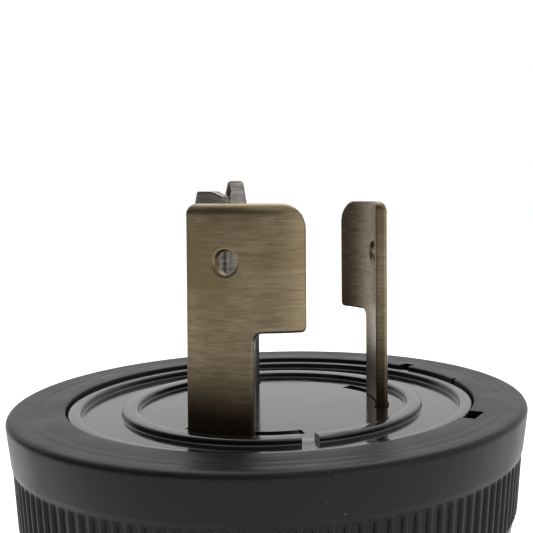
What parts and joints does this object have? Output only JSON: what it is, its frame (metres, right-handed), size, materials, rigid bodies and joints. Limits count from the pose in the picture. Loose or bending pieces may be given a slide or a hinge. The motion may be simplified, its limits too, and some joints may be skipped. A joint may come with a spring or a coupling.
{
  "type": "locking power plug",
  "caption": "Round locking power plug with curved hooked blades, a ribbed front shell, a tapered rear housing and a screw-down cord clamp, without its cord.",
  "frame": {"origin": "centre of the plug's footprint at the flat end of its cord clamp, on the plug's axis", "axes": "+Z along the plug's axis from the cord end to the blades; +X towards the reference line of line blade 1"},
  "size_m": [0.058, 0.058, 0.0819],
  "materials": {
    "shell_black": "matt moulded, slightly worn",
    "insert_black": "polished moulded",
    "blade_bronze": "tarnished satin with a cross grain",
    "ground_nickel": "nickel-plated, satin",
    "terminal_brass": "bright stamped",
    "screw_steel": "zinc-plated",
    "screw_green": "green dyed plating",
    "carrier_grey": "moulded",
    "housing_grey": "fine matt moulded",
    "seal_rubber": "matt",
    "jaw_black": "matt moulded"
  },
  "bodies": {
    "root": {"front_shell": "shell_black", "face_insert": "insert_black", "line_blade_1": "blade_bronze", "line_blade_2": "blade_bronze", "ground_blade": "ground_nickel", "pressure_plate_1": "terminal_brass", "pressure_plate_2": "terminal_brass", "pressure_plate_ground": "terminal_brass", "terminal_screw_1": "terminal_brass", "terminal_screw_2": "screw_steel", "terminal_screw_ground": "screw_green", "wire_carrier": "carrier_grey", "rear_housing": "housing_grey", "cord_seal": "seal_rubber", "clamp_jaw_head_side": "jaw_black", "clamp_jaw_nut_side": "jaw_black", "clamp_screw_1": "screw_steel", "clamp_screw_2": "screw_steel", "clamp_nut_1": "screw_steel", "clamp_nut_2": "screw_steel", "assembly_screw_1": "screw_steel", "assembly_screw_2": "screw_steel", "threaded_insert_1": "terminal_brass", "threaded_insert_2": "terminal_brass"}
  },
  "joints": []
}
